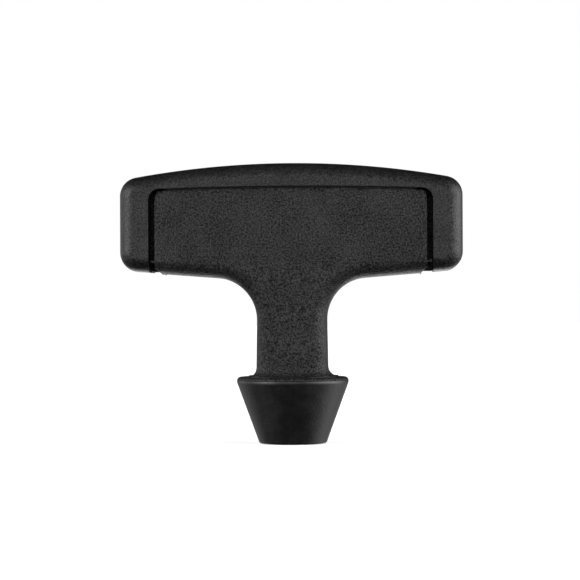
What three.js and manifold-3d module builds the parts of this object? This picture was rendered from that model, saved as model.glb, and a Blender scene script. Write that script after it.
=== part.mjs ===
// Pull-start T-handle: a grained grip body, a smooth U-shaped cap that drops over the bar from above,
// a conical nose bush under the stem, and the loose washer that a rope's knot pulls against.
//
// Millimetres, +Z up the pull axis. The origin is the centre of the nose's end face, +X runs along the
// bar, and the front face looks towards -Y.

import * as THREE from "three";
import { mergeVertices } from "three/addons/utils/BufferGeometryUtils.js";
import Module from "manifold-3d";

// ---- The handle's outer form ----
const HEIGHT = 80.6; // nose end to the top of the bar
const HALF_LENGTH = 49; // half of the bar's length
const HALF_DEPTH = 13; // half of the bar's depth, front to back
const TOP_ARCH_R = 254; // crown of the bar's top
const TOP_CORNER_R = 5.5;
const BOTTOM_CORNER_R = 5.7;
const UNDERSIDE_Z = 49.5; // bar's underside at its outer ends
const UNDERSIDE_SLOPE = THREE.MathUtils.degToRad(4.5); // the underside falls towards the stem
const EDGE_R = 4.2; // rounding of the front and back edges
const STEM_HALF_WIDTH = 9.95;
const STEM_FOOT_HALF_WIDTH = 10.2; // the stem widens a little towards the flange
const STEM_FILLET_R = 12; // between underside and stem
const DRAFT_TOP = 52.7; // front and back lean inwards below this height
const DRAFT = Math.tan(THREE.MathUtils.degToRad(2.9));

// ---- The flange and the nose ----
const FLANGE_R = 16.1;
const FLANGE_TOP = 19.3;
const FLANGE_EDGE_R = 1;
const FLANGE_FILLET_R = 2.9; // between stem and flange
const NOSE_TOP = 18.5; // where the nose bush meets the flange
const NOSE_LAND = 1.1; // from there down to where the cone's line would meet the rim
const NOSE_SHOULDER_R = 5; // soft turn from the rim into the cone
const NOSE_END_R = 9.6; // the cone's radius at its end, before the edge is rounded
const NOSE_EDGE_R = 1;
const BORE_R = 3.25; // rope hole
const BORE_MOUTH_R = 1.6; // rounding where the rope enters

// ---- The groove between body and cap ----
const GROOVE_ARCH_R = 1020; // the groove's long edges arch a little
const PANEL_HALF = 38.7; // half length of the body's flat panel
const PANEL_TOP = 71.8; // its upper edge at the centre
const PANEL_CORNER_R = 1.6;
const LEDGE_HEIGHT = 1.6; // step above the panel
const LEDGE_DEPTH = 0.9; // how far the step sits behind the panel
const CAP_INNER_HALF = 40.45; // the cap's inner faces beside the panel
const CAP_EDGE_Z = 73.8; // the cap's lower edge at the centre
const CAP_CORNER_R = 3.1;

// ---- Inside the body ----
const BODY_WALL = 2.5;
const FLOOR_Z = 53; // floor of the three pockets
const RIB_X = 9.7; // centre of each cross rib
const RIB_HALF = 1;
const RIB_TOP = 67.4;
const SEAT_Z = 50; // the washer's seat
const SEAT_R = 7.9;
const CORE_HALF_X = 7.4; // hollow of the stem, open below
const CORE_HALF_Y = 8.4;
const CORE_TOP = 44;
const RAIL_HALF_Y = 4; // guide rails on the bar's ends
const RAIL_OUT = 44; // how far out they reach
const RAIL_BOTTOM = 49.6;
const RAIL_TOP = 72.8;
const SHELF_BOTTOM = 52.4; // thin shelf across the foot of each groove
const SHELF_HEIGHT = 0.5;
const SHELF_HALF_Y = 11.9;

// ---- Inside the cap ----
const CAP_WALL = 2.8;
const CAP_FLOOR = 52.9; // top of the floor inside each end
const LIP_WALL = 1.8; // locating lip inside the body's mouth
const LIP_BOTTOM = 68.8;
const KEEPER_BOTTOM = 65.4; // cross ribs that keep the knot down
const KEEPER_HALF = 1;
const KEEPER_REACH = 7;
const FIT_GAP = 0.3; // clearance between pieces that slide past each other

// ---- Nose bush spigot and washer ----
const SPIGOT_R = CORE_HALF_X - FIT_GAP;
const SPIGOT_TOP = CORE_TOP - 0.4;
const SPIGOT_CHAMFER = 1;
const WASHER_R = 7.5;
const WASHER_HOLE_R = 3.6;
const WASHER_THICKNESS = 1.6;

// ---- Facets ----
const ARC_STEPS = 6; // half the number of facets in each arc of an outline
const EDGE_STEPS = 4; // facets across a rounded edge
const ROUND_STEPS = 56; // facets round the nose and the flange
const FAR = 200; // reaches past the whole handle

const wasm = await Module();
wasm.setup();

// ---- Geometry to solid and back ----

/** A closed three.js geometry as a solid. */
function solidOf(geometry) {
  geometry.deleteAttribute("normal");
  geometry.deleteAttribute("uv");
  const merged = mergeVertices(geometry, 1e-4);
  return new wasm.Manifold(
    new wasm.Mesh({
      numProp: 3,
      vertProperties: merged.attributes.position.array,
      triVerts: new Uint32Array(merged.index.array),
    }),
  );
}

/** A solid as a three.js geometry. */
function geometryOf(solid) {
  const { vertProperties, triVerts } = solid.getMesh();
  const geometry = new THREE.BufferGeometry();
  geometry.setAttribute("position", new THREE.BufferAttribute(vertProperties, 3));
  geometry.setIndex(new THREE.BufferAttribute(triVerts, 1));
  return geometry;
}

function join(...solids) {
  return solids.reduce((sum, solid) => sum.add(solid));
}

function cut(solid, ...tools) {
  return tools.reduce((rest, tool) => rest.subtract(tool), solid);
}

// ---- Basic solids ----

/** A box from its low corner to its high corner. */
function box([x0, y0, z0], [x1, y1, z1]) {
  const geometry = new THREE.BoxGeometry(x1 - x0, y1 - y0, z1 - z0);
  return solidOf(geometry.translate((x0 + x1) / 2, (y0 + y1) / 2, (z0 + z1) / 2));
}

/** A box that is centred on the Z axis. */
function centredBox(halfX, halfY, z0, z1) {
  return box([-halfX, -halfY, z0], [halfX, halfY, z1]);
}

/** An outline in the XZ plane, extruded to halfDepth each way along Y, its edges rounded by edgeR. */
function slab(outline, halfDepth, edgeR = 0) {
  const geometry = new THREE.ExtrudeGeometry(outline, {
    depth: 2 * (halfDepth - edgeR),
    curveSegments: ARC_STEPS,
    bevelEnabled: edgeR > 0,
    bevelThickness: edgeR,
    bevelSize: edgeR,
    bevelOffset: -edgeR,
    bevelSegments: EDGE_STEPS,
  });
  return solidOf(geometry.translate(0, 0, edgeR - halfDepth).rotateX(Math.PI / 2));
}

/** A [radius, height] profile turned about Z. */
function turned(profile) {
  const points = profile.map(([radius, height]) => new THREE.Vector2(radius, height));
  return solidOf(new THREE.LatheGeometry(points, ROUND_STEPS).rotateX(Math.PI / 2));
}

/** A round rod about Z. */
function rod(radius, z0, z1) {
  return turned([
    [0, z0],
    [radius, z0],
    [radius, z1],
    [0, z1],
  ]);
}

/** The [radius, height] points of an arc about a centre, its two angles counted in quarter turns. */
function arc([centreR, centreZ], r, from, to) {
  return Array.from({ length: EDGE_STEPS + 1 }, (_, i) => {
    const angle = ((from + ((to - from) * i) / EDGE_STEPS) * Math.PI) / 2;
    return [centreR + r * Math.cos(angle), centreZ + r * Math.sin(angle)];
  });
}

/** A horizontal rectangle with rounded corners. */
function roundedRectangle(halfX, halfY, cornerR) {
  const shape = new THREE.Shape();
  const [x, y] = [halfX - cornerR, halfY - cornerR];
  shape.absarc(x, y, cornerR, 0, Math.PI / 2);
  shape.absarc(-x, y, cornerR, Math.PI / 2, Math.PI);
  shape.absarc(-x, -y, cornerR, Math.PI, Math.PI * 1.5);
  shape.absarc(x, -y, cornerR, Math.PI * 1.5, Math.PI * 2);
  return shape;
}

// ---- Outlines in the XZ plane ----

/** Centre height and end angle of a top arch that runs into a corner arc at each end. */
function archIntoCorner(half, top, archR, cornerR) {
  const centreZ = top - archR;
  const cornerX = half - cornerR;
  const endAngle = Math.acos(cornerX / (archR - cornerR));
  const cornerZ = centreZ + (archR - cornerR) * Math.sin(endAngle);
  return { centreZ, cornerX, cornerZ, endAngle };
}

/** Adds the right corner, the arch and the left corner to a shape that stands at its right side's foot. */
function addArchedTop(shape, half, top, archR, cornerR) {
  const { centreZ, cornerX, cornerZ, endAngle } = archIntoCorner(half, top, archR, cornerR);
  shape.lineTo(half, cornerZ);
  shape.absarc(cornerX, cornerZ, cornerR, 0, endAngle);
  shape.absarc(0, centreZ, archR, endAngle, Math.PI - endAngle);
  shape.absarc(-cornerX, cornerZ, cornerR, Math.PI - endAngle, Math.PI);
}

/** The T: arched top, rounded ends, falling underside, fillets, and the stem down to z = 0. */
function handleOutline() {
  const lowX = HALF_LENGTH - BOTTOM_CORNER_R;
  const lowZ = UNDERSIDE_Z + BOTTOM_CORNER_R;
  const filletX = STEM_HALF_WIDTH + STEM_FILLET_R;
  const filletZ =
    lowZ -
    (BOTTOM_CORNER_R + STEM_FILLET_R) / Math.cos(UNDERSIDE_SLOPE) -
    (lowX - filletX) * Math.tan(UNDERSIDE_SLOPE);
  const quarter = Math.PI / 2;
  const shape = new THREE.Shape();
  shape.moveTo(STEM_FOOT_HALF_WIDTH, 0);
  shape.lineTo(STEM_FOOT_HALF_WIDTH, FLANGE_TOP);
  shape.lineTo(STEM_HALF_WIDTH, filletZ);
  shape.absarc(filletX, filletZ, STEM_FILLET_R, Math.PI, quarter + UNDERSIDE_SLOPE, true);
  shape.absarc(lowX, lowZ, BOTTOM_CORNER_R, UNDERSIDE_SLOPE - quarter, 0);
  addArchedTop(shape, HALF_LENGTH, HEIGHT, TOP_ARCH_R, TOP_CORNER_R);
  shape.absarc(-lowX, lowZ, BOTTOM_CORNER_R, Math.PI, 3 * quarter - UNDERSIDE_SLOPE);
  shape.absarc(-filletX, filletZ, STEM_FILLET_R, quarter - UNDERSIDE_SLOPE, 0, true);
  shape.lineTo(-STEM_FOOT_HALF_WIDTH, FLANGE_TOP);
  shape.lineTo(-STEM_FOOT_HALF_WIDTH, 0);
  return shape;
}

/** Straight sides from height bottom, and an arched top with rounded corners. */
function archedOutline(half, top, archR, cornerR, bottom) {
  const shape = new THREE.Shape();
  shape.moveTo(half, bottom);
  addArchedTop(shape, half, top, archR, cornerR);
  shape.lineTo(-half, bottom);
  return shape;
}

/** The body's own panel: arched top, and small chamfers where its ends meet the underside. */
function panelOutline() {
  const footHalf = PANEL_HALF - PANEL_CORNER_R;
  const footZ = UNDERSIDE_Z - (HALF_LENGTH - BOTTOM_CORNER_R - PANEL_HALF) * Math.tan(UNDERSIDE_SLOPE);
  const shape = new THREE.Shape();
  shape.moveTo(footHalf, 0);
  shape.lineTo(footHalf, footZ);
  shape.lineTo(PANEL_HALF, footZ + PANEL_CORNER_R);
  addArchedTop(shape, PANEL_HALF, PANEL_TOP, GROOVE_ARCH_R, PANEL_CORNER_R);
  shape.lineTo(-PANEL_HALF, footZ + PANEL_CORNER_R);
  shape.lineTo(-footHalf, footZ);
  shape.lineTo(-footHalf, 0);
  return shape;
}

// ---- The outer form that body and cap share ----

/** Half of the handle's depth at a height. */
function halfDepthAt(z) {
  return HALF_DEPTH - DRAFT * Math.max(0, DRAFT_TOP - z);
}

/** Leans the front and the back inwards below DRAFT_TOP. */
function drafted(solid) {
  const [upper, lower] = solid.splitByPlane([0, 0, 1], DRAFT_TOP);
  const geometry = geometryOf(lower);
  const position = geometry.attributes.position;
  for (let i = 0; i < position.count; i++)
    position.setY(i, (position.getY(i) * halfDepthAt(position.getZ(i))) / HALF_DEPTH);
  return join(upper, solidOf(geometry));
}

const handle = drafted(slab(handleOutline(), HALF_DEPTH, EDGE_R));

// ---- Grip body ----

/** The flange with its rounded rim, and the stepped fillet that runs from it into the stem. */
function flange() {
  const disc = turned([
    [0, NOSE_TOP],
    [FLANGE_R, NOSE_TOP],
    ...arc([FLANGE_R - FLANGE_EDGE_R, FLANGE_TOP - FLANGE_EDGE_R], FLANGE_EDGE_R, 0, 1),
    [0, FLANGE_TOP],
  ]);
  const steps = Array.from({ length: EDGE_STEPS }, (_, i) => {
    const angle = ((i + 1) / (EDGE_STEPS + 1)) * (Math.PI / 2);
    const spread = FLANGE_FILLET_R * (1 - Math.sin(angle));
    const z = FLANGE_TOP + FLANGE_FILLET_R * (1 - Math.cos(angle));
    const [halfX, halfY] = [STEM_FOOT_HALF_WIDTH + spread, halfDepthAt(z) + spread];
    const section = roundedRectangle(halfX, halfY, EDGE_R + spread);
    const geometry = new THREE.ExtrudeGeometry(section, {
      depth: z - NOSE_TOP,
      curveSegments: ARC_STEPS,
      bevelEnabled: false,
    });
    return solidOf(geometry.translate(0, 0, NOSE_TOP));
  });
  const withinRim = rod(FLANGE_R - FLANGE_EDGE_R, NOSE_TOP, FLANGE_TOP + FLANGE_FILLET_R);
  return join(disc, join(...steps).intersect(withinRim));
}

/** Rail and thin shelf on one end of the bar; side is +1 or -1. */
function endRail(side) {
  const span = (inner, outer) => (side > 0 ? [inner, outer] : [-outer, -inner]);
  const rooted = PANEL_HALF - BODY_WALL / 2; // inside the end wall
  const [railX0, railX1] = span(rooted, RAIL_OUT);
  const [shelfX0, shelfX1] = span(rooted, CAP_INNER_HALF - FIT_GAP);
  return join(
    box([railX0, -RAIL_HALF_Y, RAIL_BOTTOM], [railX1, RAIL_HALF_Y, RAIL_TOP]),
    box([shelfX0, -SHELF_HALF_Y, SHELF_BOTTOM], [shelfX1, SHELF_HALF_Y, SHELF_BOTTOM + SHELF_HEIGHT]),
  );
}

function gripBody() {
  const panel = handle.intersect(slab(panelOutline(), FAR));
  const ledgeTop = PANEL_TOP + LEDGE_HEIGHT;
  const ledgeOutline = archedOutline(PANEL_HALF, ledgeTop, GROOVE_ARCH_R, PANEL_CORNER_R, FLOOR_Z);
  const ledge = slab(ledgeOutline, HALF_DEPTH - LEDGE_DEPTH);
  const belowNose = centredBox(FAR, FAR, -FAR, NOSE_TOP);
  const outer = join(cut(panel, belowNose), ledge, flange(), endRail(1), endRail(-1));

  const halfX = PANEL_HALF - BODY_WALL;
  const halfY = HALF_DEPTH - BODY_WALL;
  const mouth = centredBox(halfX, halfY, RIB_TOP, FAR);
  const centrePocket = centredBox(RIB_X - RIB_HALF, halfY, FLOOR_Z, FAR);
  const sidePockets = [1, -1].map((side) => {
    const ends = [side * (RIB_X + RIB_HALF), side * halfX].sort((a, b) => a - b);
    return box([ends[0], -halfY, FLOOR_Z], [ends[1], halfY, FAR]);
  });
  const seat = rod(SEAT_R, SEAT_Z, FLOOR_Z + 1);
  const ropeHole = rod(BORE_R, 0, FLOOR_Z);
  const core = centredBox(CORE_HALF_X, CORE_HALF_Y, 0, CORE_TOP);
  return cut(outer, mouth, centrePocket, ...sidePockets, seat, ropeHole, core);
}

// ---- Top cap ----

function topCap() {
  const inner = archedOutline(CAP_INNER_HALF, CAP_EDGE_Z, GROOVE_ARCH_R, CAP_CORNER_R, 0);
  const shell = cut(handle, slab(inner, FAR));

  const hollowOutline = archedOutline(
    HALF_LENGTH - CAP_WALL,
    HEIGHT - CAP_WALL,
    TOP_ARCH_R - CAP_WALL,
    TOP_CORNER_R - CAP_WALL,
    CAP_FLOOR,
  );
  const hollow = slab(hollowOutline, HALF_DEPTH - CAP_WALL);
  const railSlot = centredBox(RAIL_OUT + FIT_GAP, RAIL_HALF_Y + FIT_GAP, 0, CAP_FLOOR + 1);

  const ceiling = HEIGHT - CAP_WALL / 2; // inside the cap's top wall at the centre
  const lipX = PANEL_HALF - BODY_WALL - FIT_GAP;
  const lipY = HALF_DEPTH - BODY_WALL - FIT_GAP;
  const lipTop = ceiling - (lipX * lipX) / (2 * TOP_ARCH_R);
  const lip = cut(
    centredBox(lipX, lipY, LIP_BOTTOM, lipTop),
    centredBox(lipX - LIP_WALL, lipY - LIP_WALL, 0, FAR),
  );
  const keeper = join(
    centredBox(KEEPER_HALF, lipY - LIP_WALL / 2, KEEPER_BOTTOM, ceiling),
    centredBox(KEEPER_REACH, KEEPER_HALF, KEEPER_BOTTOM, ceiling),
  );
  return join(cut(shell, hollow, railSlot), lip, keeper);
}

// ---- Nose bush ----

/** Cone with a rope hole through it, and the spigot that holds it in the stem. */
function noseBush() {
  const coneTop = NOSE_TOP - NOSE_LAND;
  const lean = Math.atan2(FLANGE_R - NOSE_END_R, coneTop);
  const edgeX = NOSE_END_R - (NOSE_EDGE_R * (1 - Math.sin(lean))) / Math.cos(lean);
  const leanInQuarters = lean / (Math.PI / 2);
  const shoulder = [FLANGE_R - NOSE_SHOULDER_R, coneTop + NOSE_SHOULDER_R * Math.tan(lean / 2)];
  const profile = [
    ...arc([BORE_R + BORE_MOUTH_R, BORE_MOUTH_R], BORE_MOUTH_R, 2, 3),
    ...arc([edgeX, NOSE_EDGE_R], NOSE_EDGE_R, -1, -leanInQuarters),
    ...arc(shoulder, NOSE_SHOULDER_R, -leanInQuarters, 0),
    [FLANGE_R, NOSE_TOP],
    [SPIGOT_R, NOSE_TOP],
    [SPIGOT_R, SPIGOT_TOP - SPIGOT_CHAMFER],
    [SPIGOT_R - SPIGOT_CHAMFER, SPIGOT_TOP],
    [BORE_R + SPIGOT_CHAMFER, SPIGOT_TOP],
    [BORE_R, SPIGOT_TOP - SPIGOT_CHAMFER],
  ];
  return turned([...profile, profile[0]]);
}

// ---- Knot washer ----

function knotWasher() {
  const top = SEAT_Z + WASHER_THICKNESS;
  return turned([
    [WASHER_HOLE_R, SEAT_Z],
    [WASHER_R, SEAT_Z],
    [WASHER_R, top],
    [WASHER_HOLE_R, top],
    [WASHER_HOLE_R, SEAT_Z],
  ]);
}

// ---- The assembly ----

function part(name, solid, color, roughness, metalness = 0) {
  const material = new THREE.MeshStandardMaterial({ color, roughness, metalness, flatShading: true });
  const mesh = new THREE.Mesh(geometryOf(solid), material);
  mesh.name = name;
  return mesh;
}

const assembly = new THREE.Group();
assembly.name = "pull_start_handle";
assembly.add(
  part("grip_body", gripBody(), 0x2c2c2c, 0.62),
  part("top_cap", topCap(), 0x272727, 0.5),
  part("nose_bush", noseBush(), 0x171717, 0.36),
  part("knot_washer", knotWasher(), 0x9a9a98, 0.38, 0.9),
);

export default assembly;
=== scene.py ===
"""A black pull-start T-handle: grained grip body, finer U-shaped cap, smooth nose and washer."""

import math

import bmesh
import bpy
from mathutils import Matrix, Vector


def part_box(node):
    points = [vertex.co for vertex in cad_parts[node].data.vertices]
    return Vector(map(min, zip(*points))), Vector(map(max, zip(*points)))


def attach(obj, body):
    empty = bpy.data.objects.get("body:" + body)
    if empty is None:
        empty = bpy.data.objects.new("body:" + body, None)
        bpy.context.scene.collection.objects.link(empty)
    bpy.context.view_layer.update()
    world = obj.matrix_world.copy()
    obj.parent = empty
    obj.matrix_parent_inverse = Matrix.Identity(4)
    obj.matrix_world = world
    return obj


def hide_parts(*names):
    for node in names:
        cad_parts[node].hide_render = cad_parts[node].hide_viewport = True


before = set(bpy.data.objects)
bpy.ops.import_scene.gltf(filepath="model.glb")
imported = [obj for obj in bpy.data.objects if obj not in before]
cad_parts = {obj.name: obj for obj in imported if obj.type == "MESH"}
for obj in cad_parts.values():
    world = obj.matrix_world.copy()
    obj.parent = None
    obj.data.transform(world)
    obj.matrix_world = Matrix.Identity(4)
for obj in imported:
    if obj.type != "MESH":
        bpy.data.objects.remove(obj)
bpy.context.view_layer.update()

MM = 0.001
QUARTER = math.pi / 2

# ---- Places that come from the frame ----
CAP_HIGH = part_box("top_cap")[1]
BODY_LOW, BODY_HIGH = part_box("grip_body")
BUSH_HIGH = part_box("nose_bush")[1]
WASHER_LOW, WASHER_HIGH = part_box("knot_washer")

HALF_LENGTH = CAP_HIGH.x
HALF_DEPTH = CAP_HIGH.y
HEIGHT = CAP_HIGH.z
FLANGE_R = BUSH_HIGH.x
NOSE_TOP = BODY_LOW.z
RAIL_OUT = BODY_HIGH.x

# ---- The handle's outer form ----
TOP_ARCH_R = 254 * MM
TOP_CORNER_R = 5.5 * MM
BOTTOM_CORNER_R = 5.7 * MM
UNDERSIDE_Z = 49.5 * MM
UNDERSIDE_SLOPE = math.radians(4.5)
EDGE_R = 4.2 * MM
STEM_HALF_WIDTH = 9.95 * MM
STEM_FOOT_HALF_WIDTH = 10.2 * MM  # the stem widens a little towards the flange
STEM_FILLET_R = 12 * MM
DRAFT_TOP = 52.7 * MM
DRAFT = math.tan(math.radians(2.9))
DRAFT_BLEND = 0.35 * MM  # half height of the soft bend where the draft starts
RIDGE = 0.1 * MM  # height of the mould's parting ridge
RIDGE_HALF = 0.16 * MM  # half its width at the crest
RIDGE_FOOT = 0.34 * MM  # and at its foot

# ---- Flange and nose ----
FLANGE_TOP = 19.3 * MM
FLANGE_EDGE_R = 1 * MM
FLANGE_FILLET_R = 2.9 * MM
FLANGE_SINK = 0.002 * MM  # drop of the flat top towards its rim, so that its rings stay apart
STEM_FOOT = FLANGE_TOP + FLANGE_FILLET_R
NOSE_LAND = 0.6 * MM
NOSE_SHOULDER_R = 2 * MM
NOSE_END_R = 9.6 * MM
NOSE_EDGE_R = 1 * MM
BORE_R = 3.25 * MM
BORE_MOUTH_R = 1.6 * MM

# ---- Groove between body and cap ----
GROOVE_ARCH_R = 1020 * MM
PANEL_HALF = 38.7 * MM
LEDGE_HEIGHT = 1.6 * MM
LEDGE_DEPTH = 0.9 * MM
LEDGE_LEAN = 0.35 * MM  # its top lies this much further in than its foot
LEDGE_ROOT = 0.3 * MM  # its foot lies this much below the panel's top
LEDGE_SHY = 0.05 * MM  # its ends stop this much short of the panel's
PANEL_TOP = BODY_HIGH.z - LEDGE_HEIGHT
PANEL_CORNER_R = 1.6 * MM
CAP_INNER_HALF = 40.45 * MM
CAP_EDGE_Z = 73.8 * MM
CAP_CORNER_R = 3.1 * MM

# ---- Inside ----
BODY_WALL = 2.5 * MM
FLOOR_Z = 53 * MM
POCKET_CORNER_R = 1.2 * MM
RIB_X = 9.7 * MM
RIB_HALF = 1 * MM
RIB_TOP = 67.4 * MM
SEAT_Z = WASHER_LOW.z
SEAT_R = 7.9 * MM
CORE_HALF_X = 7.4 * MM
CORE_HALF_Y = 8.4 * MM
CORE_TOP = 44 * MM
RAIL_HALF_Y = 4 * MM
RAIL_BOTTOM = 49.6 * MM
RAIL_TOP = 72.8 * MM
SHELF_BOTTOM = 52.4 * MM
SHELF_HEIGHT = 0.5 * MM
SHELF_HALF_Y = 11.9 * MM
CAP_WALL = 2.8 * MM
CAP_FLOOR = 52.9 * MM
LIP_WALL = 1.8 * MM
LIP_BOTTOM = 68.8 * MM
LIP_CORNER_R = 0.6 * MM  # of the space inside it
KEEPER_BOTTOM = 65.4 * MM
KEEPER_HALF = 1 * MM
KEEPER_REACH = 7 * MM
FIT_GAP = 0.3 * MM
SPIGOT_CHAMFER = 1 * MM
WASHER_HOLE_R = 3.6 * MM
WASHER_ROLL = 0.3 * MM  # radius of its rolled edges
WASHER_BURR = 0.1 * MM  # chamfer of its others

# ---- Fineness ----
CORNER_STEPS = 10  # facets in an outline's small corners
ARCH_STEPS = 40  # facets in half of a top arch
FILLET_STEPS = 20
EDGE_STEPS = 8  # facets across a rounded edge
SIDE_STEPS = 9  # facets across the stem's side, from its edge to its middle
FRONT_STEPS = 16  # facets across the stem's front at its foot
POCKET_STEPS = 6  # facets in a pocket's upright corner
ROLL_STEPS = 4  # facets in the washer's rolled edge
ROUND_STEPS = 160  # facets round a turned piece
MICRO_EDGE = 0.22 * MM  # rounding of the mouldings' cut edges
MICRO_STEPS = 2  # and its facets
SHARP_ANGLE = math.radians(40)  # edges that turn further than this are rounded
MOULDED_CREASE = 38  # degrees; edges that turn further than this stay sharp in the shading
TURNED_CREASE = 30
SAME_POINT = 1e-7  # points closer than this are one
WELD = 2e-6  # and closer than this once a piece is cut
CUT_OVERLAP = 1 * MM  # how far a cut runs into the space above it
FAR = 0.3  # beyond the handle, for the ends of cuts


# ---- Outlines in the XZ plane ----


def arc(centre, radius, start, end, steps=CORNER_STEPS):
    """Points of an arc from one angle to another."""
    angles = [start + (end - start) * i / steps for i in range(steps + 1)]
    return [(centre[0] + radius * math.cos(a), centre[1] + radius * math.sin(a)) for a in angles]


def both_sides(right):
    """A closed outline from its right half, which runs from the foot to the crown at x = 0."""
    left = [(-x, z) for x, z in reversed(right) if x > SAME_POINT]
    return right + left


def arched_top(half, top, arch_r, corner_r):
    """Right corner and right half of the arch."""
    corner_x = half - corner_r
    end = math.acos(corner_x / (arch_r - corner_r))
    corner = (corner_x, top - arch_r + (arch_r - corner_r) * math.sin(end))
    crown = arc((0, top - arch_r), arch_r, end, QUARTER, ARCH_STEPS)[1:]
    crown[-1] = (0.0, top)
    return arc(corner, corner_r, 0, end) + crown


def handle_outline(inset):
    """The T, from the foot of the stem to the crown; inset pulls the whole outline in."""
    low = (HALF_LENGTH - BOTTOM_CORNER_R, UNDERSIDE_Z + BOTTOM_CORNER_R)
    fillet_x = STEM_HALF_WIDTH + STEM_FILLET_R
    reach = (BOTTOM_CORNER_R + STEM_FILLET_R) / math.cos(UNDERSIDE_SLOPE)
    fillet_z = low[1] - reach - (low[0] - fillet_x) * math.tan(UNDERSIDE_SLOPE)
    fillet_r = STEM_FILLET_R + inset
    underside = QUARTER + UNDERSIDE_SLOPE
    right = [(STEM_FOOT_HALF_WIDTH - inset, STEM_FOOT)]
    right += arc((fillet_x, fillet_z), fillet_r, math.pi, underside, FILLET_STEPS)
    right += arc(low, BOTTOM_CORNER_R - inset, UNDERSIDE_SLOPE - QUARTER, 0)
    right += arched_top(
        HALF_LENGTH - inset, HEIGHT - inset, TOP_ARCH_R - inset, TOP_CORNER_R - inset
    )
    return both_sides(right)


def arched_outline(half, top, arch_r, corner_r, bottom):
    """Straight sides up from the bottom, under an arch."""
    return both_sides([(half, bottom)] + arched_top(half, top, arch_r, corner_r))


def panel_outline():
    """The body's own panel, with small chamfers where its ends meet the underside."""
    foot_half = PANEL_HALF - PANEL_CORNER_R
    bar_flat = HALF_LENGTH - BOTTOM_CORNER_R - PANEL_HALF
    foot_z = UNDERSIDE_Z - bar_flat * math.tan(UNDERSIDE_SLOPE)
    right = [(foot_half, 0.0), (foot_half, foot_z), (PANEL_HALF, foot_z + PANEL_CORNER_R)]
    right += arched_top(PANEL_HALF, PANEL_TOP, GROOVE_ARCH_R, PANEL_CORNER_R)
    return both_sides(right)


# ---- Meshes ----


def mesh_object(name, bm):
    """A new object in the scene from a bmesh, with its faces turned outwards."""
    bmesh.ops.recalc_face_normals(bm, faces=bm.faces)
    mesh = bpy.data.meshes.new(name)
    bm.to_mesh(mesh)
    bm.free()
    piece = bpy.data.objects.new(name, mesh)
    bpy.context.scene.collection.objects.link(piece)
    return piece


def add_band(bm, low, high):
    """A closed band of faces between two loops of vertices."""
    for i in range(len(low)):
        j = (i + 1) % len(low)
        bm.faces.new((low[i], low[j], high[j], high[i]))


def lofted(name, rings):
    """A closed body through rings of points; its first and last rings are filled."""
    bm = bmesh.new()
    loops = [[bm.verts.new(p) for p in ring] for ring in rings]
    for low, high in zip(loops, loops[1:]):
        add_band(bm, low, high)
    bm.faces.new(loops[0])
    bm.faces.new(loops[-1])
    return mesh_object(name, bm)


def prism(name, outline, half_depth=FAR):
    """An XZ outline extruded both ways along Y."""
    return lofted(name, [[(x, y, z) for x, z in outline] for y in (-half_depth, half_depth)])


def box(name, low, high):
    corners = [(low[0], low[1]), (high[0], low[1]), (high[0], high[1]), (low[0], high[1])]
    return lofted(name, [[(x, y, z) for x, y in corners] for z in (low[2], high[2])])


def centred_box(name, half_x, half_y, z0, z1):
    return box(name, (-half_x, -half_y, z0), (half_x, half_y, z1))


def turned(name, profile, closed=False):
    """A (radius, height) profile turned about Z; a closed one makes a ring."""
    bm = bmesh.new()
    points = [bm.verts.new((r, 0, z)) for r, z in profile]
    edges = [bm.edges.new(pair) for pair in zip(points, points[1:])]
    if closed:
        edges.append(bm.edges.new((points[-1], points[0])))
    bmesh.ops.spin(
        bm, geom=points + edges, cent=(0, 0, 0), axis=(0, 0, 1), angle=math.tau,
        steps=ROUND_STEPS, use_merge=True,
    )
    bmesh.ops.remove_doubles(bm, verts=bm.verts, dist=SAME_POINT)
    return mesh_object(name, bm)


def rod(name, radius, z0, z1):
    return turned(name, [(0, z0), (radius, z0), (radius, z1), (0, z1)])


def applied(piece):
    """Makes a piece's modifiers part of its mesh."""
    depsgraph = bpy.context.evaluated_depsgraph_get()
    mesh = bpy.data.meshes.new_from_object(piece.evaluated_get(depsgraph))
    piece.modifiers.clear()
    piece.data = mesh
    return piece


def combine(piece, tools, operation):
    """Joins or cuts a piece with each tool in turn, and removes the tools."""
    for tool in tools:
        step = piece.modifiers.new("combine", "BOOLEAN")
        step.solver = "MANIFOLD"
        step.operation = operation
        step.object = tool
        applied(piece)
        bpy.data.objects.remove(tool)
    return piece


def join(piece, *tools):
    return combine(piece, tools, "UNION")


def cut(piece, *tools):
    return combine(piece, tools, "DIFFERENCE")


def overlap(piece, tool):
    return combine(piece, [tool], "INTERSECT")


# ---- The outer form that body and cap share ----


def half_depth_at(z):
    return HALF_DEPTH - DRAFT * max(0.0, DRAFT_TOP - z)


def edge_section():
    """Points across the depth, from back face to front: (y, inset, outward x, outward y)."""
    side = HALF_DEPTH - EDGE_R
    half = []
    for i in range(EDGE_STEPS + 1):
        a = i / EDGE_STEPS * QUARTER
        inset = RIDGE + EDGE_R * (1 - math.sin(a))
        half.append((side + EDGE_R * math.cos(a), inset, math.sin(a), math.cos(a)))
    for i in range(1, SIDE_STEPS):
        half.append((side + (RIDGE_FOOT - side) * i / SIDE_STEPS, RIDGE, 1.0, 0.0))
    half += [(RIDGE_FOOT, RIDGE, 1.0, 0.0), (RIDGE_HALF, 0.0, 1.0, 0.0)]
    return half + [(-y, inset, nx, -ny) for y, inset, nx, ny in reversed(half)]


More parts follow.
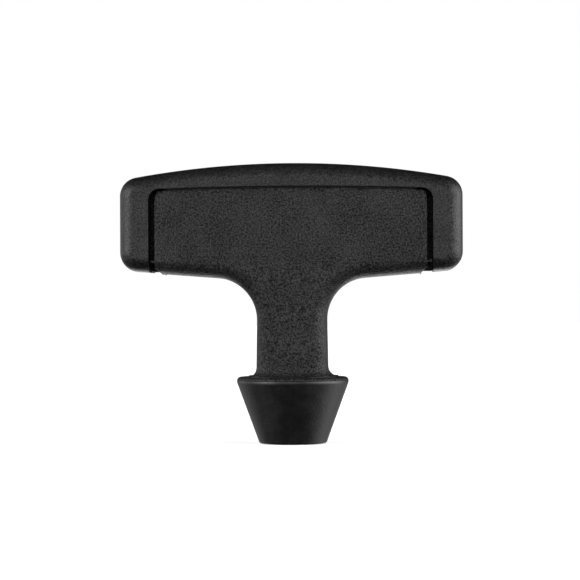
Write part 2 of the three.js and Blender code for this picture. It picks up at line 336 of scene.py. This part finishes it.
def stem_ring(section, spread):
    """(x, y) points round the stem's foot, grown outwards by spread."""
    squeeze = half_depth_at(STEM_FOOT) / HALF_DEPTH
    right = [
        (STEM_FOOT_HALF_WIDTH - inset + spread * nx, y * squeeze + spread * ny)
        for y, inset, nx, ny in section
    ]
    left = [(-x, y) for x, y in reversed(right)]

    def across(start, end):
        width = end[0] - start[0]
        return [(start[0] + width * i / FRONT_STEPS, start[1]) for i in range(1, FRONT_STEPS)]

    return right + across(right[-1], left[0]) + left + across(left[-1], right[0])


def flange_rings(section):
    """Rings from the stem's foot, over the fillet, the flange and its rim, to the nose bush."""
    top_r = FLANGE_R - FLANGE_EDGE_R
    rings = []
    for i in range(1, EDGE_STEPS + 1):
        a = i / EDGE_STEPS * QUARTER
        z = FLANGE_TOP + FLANGE_FILLET_R * (1 - math.sin(a))
        ring = []
        for x, y in stem_ring(section, FLANGE_FILLET_R * (1 - math.cos(a))):
            shrink = min(1.0, top_r / math.hypot(x, y))
            ring.append((x * shrink, y * shrink, z))
        rings.append(ring)
    directions = [(x / math.hypot(x, y), y / math.hypot(x, y)) for x, y, _ in rings[-1]]
    edge = (top_r, FLANGE_TOP - FLANGE_EDGE_R)
    rim = [(top_r, FLANGE_TOP - FLANGE_SINK)]
    rim += arc(edge, FLANGE_EDGE_R, QUARTER, 0, EDGE_STEPS)[1:]
    rim.append((FLANGE_R, NOSE_TOP))
    return rings + [[(x * r, y * r, z) for x, y in directions] for r, z in rim]


def handle_form(name):
    """The whole T and flange as one rounded body, with a thin parting ridge round its middle."""
    section = edge_section()
    bm = bmesh.new()
    loops = [
        [bm.verts.new((x, y, z)) for x, z in handle_outline(inset)] for y, inset, _, _ in section
    ]
    for back, front in zip(loops, loops[1:]):
        for i in range(len(back) - 1):
            bm.faces.new((back[i], back[i + 1], front[i + 1], front[i]))

    def across(start, end):
        shares = [i / FRONT_STEPS for i in range(1, FRONT_STEPS)]
        return [bm.verts.new(start.co.lerp(end.co, share)) for share in shares]

    front_foot = across(loops[-1][0], loops[-1][-1])
    back_foot = across(loops[0][-1], loops[0][0])
    bm.faces.new(loops[-1] + front_foot[::-1])
    bm.faces.new(loops[0] + back_foot)
    right_foot = [loop[0] for loop in loops]
    left_foot = [loop[-1] for loop in reversed(loops)]
    below = right_foot + front_foot + left_foot + back_foot

    for height in (DRAFT_TOP - DRAFT_BLEND, DRAFT_TOP + DRAFT_BLEND):
        everything = bm.verts[:] + bm.edges[:] + bm.faces[:]
        bmesh.ops.bisect_plane(bm, geom=everything, plane_co=(0, 0, height), plane_no=(0, 0, 1))
    for vert in bm.verts:
        vert.co.y *= half_depth_at(vert.co.z) / HALF_DEPTH

    for ring in flange_rings(section):
        loop = [bm.verts.new(p) for p in ring]
        add_band(bm, below, loop)
        below = loop
    bm.faces.new(below)
    return mesh_object(name, bm)


# ---- Finishing a mesh ----


def softened(piece):
    """Rounds a piece's sharp edges a little, apart from where they cross the parting ridge."""
    bm = bmesh.new()
    bm.from_mesh(piece.data)
    sharp = [
        edge
        for edge in bm.edges
        if edge.calc_face_angle(0) > SHARP_ANGLE
        and not all(abs(vert.co.y) < 2 * RIDGE_FOOT for vert in edge.verts)
    ]
    bmesh.ops.bevel(
        bm, geom=sharp, offset=MICRO_EDGE, segments=MICRO_STEPS, profile=0.5, affect="EDGES",
        clamp_overlap=False, miter_outer="ARC",
    )
    bm.to_mesh(piece.data)
    bm.free()
    return piece


def shaded(piece, crease=MOULDED_CREASE):
    """Smooth shading that keeps flat faces flat."""
    bm = bmesh.new()
    bm.from_mesh(piece.data)
    bmesh.ops.remove_doubles(bm, verts=bm.verts, dist=WELD)
    bmesh.ops.dissolve_degenerate(bm, edges=bm.edges, dist=WELD)
    bm.to_mesh(piece.data)
    bm.free()
    for face in piece.data.polygons:
        face.use_smooth = True
    piece.data.set_sharp_from_angle(angle=math.radians(crease))
    weighted = piece.modifiers.new("flat_faces", "WEIGHTED_NORMAL")
    weighted.weight = 100  # the most that a large face can count for
    weighted.keep_sharp = True
    return piece


# ---- Grip body ----


def pocket(name, x0, x1, half_y, z0, z1, radius=POCKET_CORNER_R):
    """A pocket with rounded upright corners."""
    middle = (x0 + x1) / 2
    outline = []
    for turn, (cx, cy) in enumerate(((x1, half_y), (x0, half_y), (x0, -half_y), (x1, -half_y))):
        centre = (cx - math.copysign(radius, cx - middle), cy - math.copysign(radius, cy))
        outline += arc(centre, radius, turn * QUARTER, (turn + 1) * QUARTER, POCKET_STEPS)
    return lofted(name, [[(x, y, z) for x, y in outline] for z in (z0, z1)])


def end_rail(side):
    """Guide rail and thin shelf on one end of the bar."""
    rooted = PANEL_HALF - BODY_WALL / 2
    rail_x = sorted((side * rooted, side * RAIL_OUT))
    shelf_x = sorted((side * rooted, side * (CAP_INNER_HALF - FIT_GAP)))
    rail = box(
        "rail",
        (rail_x[0], -RAIL_HALF_Y, RAIL_BOTTOM),
        (rail_x[1], RAIL_HALF_Y, RAIL_TOP),
    )
    shelf = box(
        "shelf",
        (shelf_x[0], -SHELF_HALF_Y, SHELF_BOTTOM),
        (shelf_x[1], SHELF_HALF_Y, SHELF_BOTTOM + SHELF_HEIGHT),
    )
    return [softened(rail), shelf]


def ledge():
    """The step above the panel; its front and back lean inwards."""
    half = PANEL_HALF - LEDGE_SHY
    foot, top = (
        arched_outline(half, z, GROOVE_ARCH_R, PANEL_CORNER_R, FLOOR_Z)
        for z in (PANEL_TOP - LEDGE_ROOT, PANEL_TOP + LEDGE_HEIGHT)
    )
    outer = HALF_DEPTH - LEDGE_DEPTH
    inner = outer - LEDGE_LEAN
    rings = ((-outer, foot), (-inner, top), (inner, top), (outer, foot))
    return softened(lofted("ledge", [[(x, y, z) for x, z in outline] for y, outline in rings]))


def grip_body():
    piece = overlap(handle_form("grip_body_shell"), prism("panel", panel_outline()))
    softened(piece)
    join(piece, ledge(), *end_rail(1), *end_rail(-1))

    half_x = PANEL_HALF - BODY_WALL
    half_y = HALF_DEPTH - BODY_WALL
    centre_half = RIB_X - RIB_HALF
    inner = RIB_X + RIB_HALF
    cut(
        piece,
        pocket("mouth", -half_x, half_x, half_y, RIB_TOP, FAR),
        pocket("centre_pocket", -centre_half, centre_half, half_y, FLOOR_Z, FAR),
        pocket("right_pocket", inner, half_x, half_y, FLOOR_Z, FAR),
        pocket("left_pocket", -half_x, -inner, half_y, FLOOR_Z, FAR),
        rod("seat", SEAT_R, SEAT_Z, FLOOR_Z + CUT_OVERLAP),
        rod("rope_hole", BORE_R, 0, FLOOR_Z),
        pocket("core", -CORE_HALF_X, CORE_HALF_X, CORE_HALF_Y, 0, CORE_TOP),
    )
    return shaded(piece)


# ---- Top cap ----


def top_cap():
    """The outer form less the groove's outline, hollowed, with a lip and cross ribs inside."""
    inner = arched_outline(CAP_INNER_HALF, CAP_EDGE_Z, GROOVE_ARCH_R, CAP_CORNER_R, 0)
    piece = softened(cut(handle_form("top_cap_shell"), prism("inside", inner)))
    hollow = arched_outline(
        HALF_LENGTH - CAP_WALL,
        HEIGHT - CAP_WALL,
        TOP_ARCH_R - CAP_WALL,
        TOP_CORNER_R - CAP_WALL,
        CAP_FLOOR,
    )
    slot_half_x = RAIL_OUT + FIT_GAP
    slot_half_y = RAIL_HALF_Y + FIT_GAP
    cut(
        piece,
        prism("hollow", hollow, HALF_DEPTH - CAP_WALL),
        centred_box("rail_slot", slot_half_x, slot_half_y, 0, CAP_FLOOR + CUT_OVERLAP),
    )
    ceiling = HEIGHT - CAP_WALL / 2
    lip_x = PANEL_HALF - BODY_WALL - FIT_GAP
    lip_y = HALF_DEPTH - BODY_WALL - FIT_GAP
    lip_top = ceiling - lip_x**2 / (2 * TOP_ARCH_R)
    space_x = lip_x - LIP_WALL
    space_y = lip_y - LIP_WALL
    lip = cut(
        pocket("lip", -lip_x, lip_x, lip_y, LIP_BOTTOM, lip_top),
        pocket("lip_inside", -space_x, space_x, space_y, 0, FAR, LIP_CORNER_R),
    )
    keeper_y = lip_y - LIP_WALL / 2
    join(
        piece,
        lip,
        centred_box("keeper_across", KEEPER_HALF, keeper_y, KEEPER_BOTTOM, ceiling),
        centred_box("keeper_along", KEEPER_REACH, KEEPER_HALF, KEEPER_BOTTOM, ceiling),
    )
    return shaded(piece)


# ---- Nose bush and washer ----


def nose_bush():
    """Cone with a rope hole through it, and the spigot that holds it in the stem."""
    cone_top = NOSE_TOP - NOSE_LAND
    lean = math.atan2(FLANGE_R - NOSE_END_R, cone_top)
    edge_r = NOSE_END_R - NOSE_EDGE_R * (1 - math.sin(lean)) / math.cos(lean)
    shoulder = (FLANGE_R - NOSE_SHOULDER_R, cone_top + NOSE_SHOULDER_R * math.tan(lean / 2))
    spigot_r = CORE_HALF_X - FIT_GAP
    spigot_top = BUSH_HIGH.z
    profile = arc((BORE_R + BORE_MOUTH_R, BORE_MOUTH_R), BORE_MOUTH_R, math.pi, 3 * QUARTER)
    profile += arc((edge_r, NOSE_EDGE_R), NOSE_EDGE_R, -QUARTER, -lean)
    profile += arc(shoulder, NOSE_SHOULDER_R, -lean, 0)
    profile += [
        (FLANGE_R, NOSE_TOP),
        (spigot_r, NOSE_TOP),
        (spigot_r, spigot_top - SPIGOT_CHAMFER),
        (spigot_r - SPIGOT_CHAMFER, spigot_top),
        (BORE_R + SPIGOT_CHAMFER, spigot_top),
        (BORE_R, spigot_top - SPIGOT_CHAMFER),
    ]
    return shaded(turned("nose_bush_cone", profile, closed=True), TURNED_CREASE)


def knot_washer():
    """A stamped washer: its upper edges rolled over, the lower ones with a small chamfer."""
    low, high, outer = WASHER_LOW.z, WASHER_HIGH.z, WASHER_HIGH.x
    hole, roll, burr = WASHER_HOLE_R, WASHER_ROLL, WASHER_BURR
    profile = [(hole + burr, low), (outer - burr, low), (outer, low + burr)]
    profile += arc((outer - roll, high - roll), roll, 0, QUARTER, ROLL_STEPS)
    profile += arc((hole + roll, high - roll), roll, QUARTER, math.pi, ROLL_STEPS)
    profile.append((hole, low + burr))
    return shaded(turned("knot_washer_ring", profile, closed=True), TURNED_CREASE)


# ---- Materials ----

NOISE_LOW, NOISE_HIGH = 0.3, 0.7  # nearly all of Blender's noise lies between these

# Moulded plastic
FINE_GRAIN = 0.45  # size of the fine grain against the coarse
FINE_DEPTH = 0.3  # and its depth
GRAIN_SHADE_LOW, GRAIN_SHADE_HIGH = 0.83, 1.17  # sums of the two grains in a pit and on a peak, where the painted shade is darkest and the painted light brightest
GRAIN_SHADE_SHARE = 0.8  # share of the changes of tone that is painted shade in the grain's pits and painted light on its peaks; slow blotches of random tone have the rest
MOULDED_BLOTCH = 9 * MM
# Painted shade and painted light: the grain's pits are coloured this much darker than the tone,
# its peaks this much lighter.
PIT_SHADE_TONE, PEAK_LIGHT_TONE = 0.2, 1.8
MOULDED_GLOSS = 0.09  # change of roughness either way

# Smooth plastic
SATIN_BLOTCH = 6 * MM
SATIN_DARK, SATIN_LIGHT = 0.6, 1.4
HAZE_SIZE = 3 * MM
HAZE_LESS, HAZE_MORE = 0.05, 0.07  # changes of roughness
WAVE_SIZE, WAVE_DEPTH = 0.7 * MM, 0.05 * MM

# Zinc-plated steel
ZINC_BLOTCH = 2.2 * MM
ZINC_ROUGHNESS = (0.28, 0.46)
MARK_SIZE, MARK_DEPTH = 0.18 * MM, 0.008 * MM


class Nodes:
    """A material's node tree, with short calls for the nodes used here."""

    def __init__(self, name):
        self.material = bpy.data.materials.new(name)
        self.material.use_nodes = True
        self.tree = self.material.node_tree
        self.shader = self.tree.nodes["Principled BSDF"]
        self.place = self.tree.nodes.new("ShaderNodeTexCoord").outputs["Object"]

    def link(self, source, name):
        """Feeds one of the shader's own inputs."""
        self.tree.links.new(source, self.shader.inputs[name])

    def noise(self, size, detail=2.0):
        """Noise whose features are about size metres across."""
        node = self.tree.nodes.new("ShaderNodeTexNoise")
        node.inputs["Scale"].default_value = 1 / size
        node.inputs["Detail"].default_value = detail
        self.tree.links.new(self.place, node.inputs["Vector"])
        return node.outputs["Fac"]

    def plus(self, a, b):
        node = self.tree.nodes.new("ShaderNodeMath")
        self.tree.links.new(a, node.inputs[0])
        self.tree.links.new(b, node.inputs[1])
        return node.outputs["Value"]

    def ramp(self, value, to_low, to_high, low=NOISE_LOW, high=NOISE_HIGH):
        """Maps the range from low to high onto another, and stops at its ends."""
        node = self.tree.nodes.new("ShaderNodeMapRange")
        node.inputs["From Min"].default_value = low
        node.inputs["From Max"].default_value = high
        node.inputs["To Min"].default_value = to_low
        node.inputs["To Max"].default_value = to_high
        self.tree.links.new(value, node.inputs["Value"])
        return node.outputs["Result"]

    def mixed(self, value, dark, light):
        """A colour between two."""
        node = self.tree.nodes.new("ShaderNodeMix")
        node.data_type = "RGBA"
        node.inputs["A"].default_value = (*dark, 1)
        node.inputs["B"].default_value = (*light, 1)
        self.tree.links.new(value, node.inputs["Factor"])
        return node.outputs["Result"]

    def bump(self, height, depth, under=None):
        """Relief of some depth in metres, on top of another relief if one is given."""
        node = self.tree.nodes.new("ShaderNodeBump")
        node.inputs["Distance"].default_value = depth
        self.tree.links.new(height, node.inputs["Height"])
        if under:
            self.tree.links.new(under, node.inputs["Normal"])
        return node.outputs["Normal"]


def grey(level, warmth=0.0):
    return (level * (1 + warmth), level, level * (1 - warmth))


def moulded_plastic(name, tone, grain_size, grain_depth, pit_reflection_shade, roughness):
    """Black moulded plastic: spark-eroded grain in two sizes, slow changes of tone and gloss,
    painted shade in the grain's pits and painted light on its peaks.
    """
    nodes = Nodes(name)
    coarse = nodes.noise(grain_size, detail=1)
    fine = nodes.noise(grain_size * FINE_GRAIN)
    blotch = nodes.noise(MOULDED_BLOTCH, detail=3)
    both = nodes.plus(coarse, fine)
    # The grains' summed height sets the painted shade, darkest in the pits, and the painted
    # light, brightest on the peaks.
    grain_shade_and_light = nodes.ramp(both, 0, GRAIN_SHADE_SHARE, GRAIN_SHADE_LOW, GRAIN_SHADE_HIGH)
    tone_and_grain_shade = nodes.plus(nodes.ramp(blotch, 0, 1 - GRAIN_SHADE_SHARE), grain_shade_and_light)
    # Painted shade and light in the colour: pits dark, peaks light, over slow blotches of random
    # tone.
    pit_shade, peak_light = grey(tone * PIT_SHADE_TONE), grey(tone * PEAK_LIGHT_TONE)
    nodes.link(nodes.mixed(tone_and_grain_shade, pit_shade, peak_light), "Base Color")
    # Painted shade on the reflection too: its tint is dimmed in the grain's pits.
    nodes.link(nodes.mixed(tone_and_grain_shade, grey(pit_reflection_shade), grey(1.0)), "Specular Tint")
    gloss = nodes.ramp(coarse, roughness - MOULDED_GLOSS, roughness + MOULDED_GLOSS)
    nodes.link(gloss, "Roughness")
    relief = nodes.bump(fine, grain_depth * FINE_DEPTH, nodes.bump(coarse, grain_depth))
    nodes.link(relief, "Normal")
    return nodes.material


def smooth_plastic(name, tone, roughness):
    """Satin black plastic with a polished mould's faint waviness and handling haze."""
    nodes = Nodes(name)
    blotch = nodes.noise(SATIN_BLOTCH, detail=3)
    dark, light = grey(tone * SATIN_DARK), grey(tone * SATIN_LIGHT)
    nodes.link(nodes.mixed(blotch, dark, light), "Base Color")
    haze = nodes.noise(HAZE_SIZE, detail=4)
    nodes.link(nodes.ramp(haze, roughness - HAZE_LESS, roughness + HAZE_MORE), "Roughness")
    nodes.link(nodes.bump(nodes.noise(WAVE_SIZE), WAVE_DEPTH), "Normal")
    return nodes.material


def washer_steel(name):
    """Bright zinc over steel, with fine turning marks and pale blotches."""
    nodes = Nodes(name)
    blotch = nodes.noise(ZINC_BLOTCH, detail=4)
    dark, light = grey(0.42, 0.02), grey(0.62, -0.01)
    nodes.link(nodes.mixed(blotch, dark, light), "Base Color")
    nodes.shader.inputs["Metallic"].default_value = 1.0
    nodes.link(nodes.ramp(blotch, *ZINC_ROUGHNESS), "Roughness")
    nodes.link(nodes.bump(nodes.noise(MARK_SIZE, detail=3), MARK_DEPTH), "Normal")
    return nodes.material


# ---- The pieces ----


def finish_piece(piece, material, node, body):
    piece.data.materials.clear()
    piece.data.materials.append(material)
    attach(piece, body)
    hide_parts(node)


def build_pieces():
    # Both plastics get painted shade in their grain's pits and painted light on its peaks; the
    # pits' dimmed reflection tint is painted shade as well.
    grained = moulded_plastic(
        "grained_plastic",
        tone=0.011,
        grain_size=0.5 * MM,
        grain_depth=0.25 * MM,
        pit_reflection_shade=0.0,
        roughness=0.5,
    )
    matte = moulded_plastic(
        "cap_plastic",
        tone=0.009,
        grain_size=0.45 * MM,
        grain_depth=0.1 * MM,
        pit_reflection_shade=0.25,
        roughness=0.38,
    )
    satin = smooth_plastic("nose_plastic", tone=0.006, roughness=0.33)
    finish_piece(grip_body(), grained, "grip_body", "grip")
    finish_piece(top_cap(), matte, "top_cap", "cap")
    finish_piece(nose_bush(), satin, "nose_bush", "grip")
    steel = washer_steel("washer_steel")
    finish_piece(knot_washer(), steel, "knot_washer", "washer")


# ---- Floor, light and camera ----

FLOOR_HALF = 2.5
FLOOR_DARK, FLOOR_LIGHT = 0.86, 0.9
FLOOR_MOTTLE = 0.2  # size of its changes of tone
FLOOR_ROUGHNESS = 0.9
FLOOR_GLOW = 0.62  # keeps the floor as white as the background
AIM = Vector((-0.7 * MM, 0, 44.3 * MM))
CAMERA_DISTANCE = 750 * MM
CAMERA_AZIMUTH = math.radians(2.2)
CAMERA_ROLL = math.radians(-0.25)
CAMERA_REACH = 20
LENS_MM = 161.3
SENSOR_MM = 36

# The studio's soft lights: azimuth, elevation, the angle from the centre at which it is half as
# bright, and brightness. Angles are in degrees; azimuth 0 is the front and +90 the right.
SOFT_LIGHTS = (
    (-57, 14, 20, 6.6),  # left softbox
    (55, 14, 19, 4.8),  # right softbox, its front half
    (88, 8, 20, 4.8),  # and its rear half
    (0, 5, 12, 3),  # small light by the camera
    (112, -12, 20, 1.1),  # white wall behind the right softbox
    (180, -38, 17, 4.4),  # white table behind and below
    (-118, 4, 20, 1.2),  # white wall behind the left softbox
)


def make_floor():
    """A pale floor that the handle stands on, hidden from its reflections and bounced light."""
    bm = bmesh.new()
    corners = ((-1, -1), (1, -1), (1, 1), (-1, 1))
    bm.faces.new([bm.verts.new((x * FLOOR_HALF, y * FLOOR_HALF, 0)) for x, y in corners])
    floor = mesh_object("floor", bm)
    nodes = Nodes("pale_floor")
    mottle = nodes.noise(FLOOR_MOTTLE)
    nodes.link(nodes.mixed(mottle, grey(FLOOR_DARK), grey(FLOOR_LIGHT)), "Base Color")
    nodes.shader.inputs["Roughness"].default_value = FLOOR_ROUGHNESS
    nodes.shader.inputs["Emission Color"].default_value = (1, 1, 1, 1)
    nodes.shader.inputs["Emission Strength"].default_value = FLOOR_GLOW
    floor.data.materials.append(nodes.material)
    floor.visible_glossy = False
    floor.visible_diffuse = False


def towards(azimuth, elevation):
    """Unit vector for a direction in degrees."""
    turn, rise = math.radians(azimuth), math.radians(elevation)
    level = math.cos(rise)
    return Vector((math.sin(turn) * level, -math.cos(turn) * level, math.sin(rise)))


def make_sky():
    """White to the camera; to the object, a dark room with a few broad soft lights."""
    world = bpy.data.worlds.new("studio")
    bpy.context.scene.world = world
    world.use_nodes = True
    tree = world.node_tree
    background = tree.nodes["Background"]
    background.inputs["Color"].default_value = (1, 1, 1, 1)
    direction = tree.nodes.new("ShaderNodeTexCoord").outputs["Generated"]

    def maths(operation, a, b):
        node = tree.nodes.new("ShaderNodeMath")
        node.operation = operation
        for socket, value in zip(node.inputs, (a, b)):
            if isinstance(value, (int, float)):
                socket.default_value = value
            else:
                tree.links.new(value, socket)
        return node.outputs[0]

    total = 0.0
    for azimuth, elevation, half_angle, brightness in SOFT_LIGHTS:
        dot = tree.nodes.new("ShaderNodeVectorMath")
        dot.operation = "DOT_PRODUCT"
        dot.inputs[1].default_value = towards(azimuth, elevation)
        tree.links.new(direction, dot.inputs[0])
        falloff = math.log(2) / (1 - math.cos(math.radians(half_angle)))
        exponent = maths("MULTIPLY", maths("SUBTRACT", dot.outputs["Value"], 1.0), falloff)
        glow = maths("POWER", math.e, exponent)
        total = maths("ADD", maths("MULTIPLY", glow, brightness), total)
    seen = tree.nodes.new("ShaderNodeMix")
    camera_ray = tree.nodes.new("ShaderNodeLightPath").outputs["Is Camera Ray"]
    tree.links.new(camera_ray, seen.inputs["Factor"])
    tree.links.new(total, seen.inputs["A"])
    seen.inputs["B"].default_value = 1.0
    tree.links.new(seen.outputs["Result"], background.inputs["Strength"])


def make_camera():
    data = bpy.data.cameras.new("camera")
    data.lens = LENS_MM
    data.sensor_width = SENSOR_MM
    data.clip_end = CAMERA_REACH
    camera = bpy.data.objects.new("camera", data)
    bpy.context.scene.collection.objects.link(camera)
    back = Vector((math.sin(CAMERA_AZIMUTH), -math.cos(CAMERA_AZIMUTH), 0))
    camera.location = AIM + back * CAMERA_DISTANCE
    upright = (-back).to_track_quat("-Z", "Y").to_matrix()
    camera.rotation_euler = (upright @ Matrix.Rotation(CAMERA_ROLL, 3, "Z")).to_euler()
    bpy.context.scene.camera = camera


make_camera()
build_pieces()
make_floor()
make_sky()
bpy.context.scene.view_settings.view_transform = "Standard"
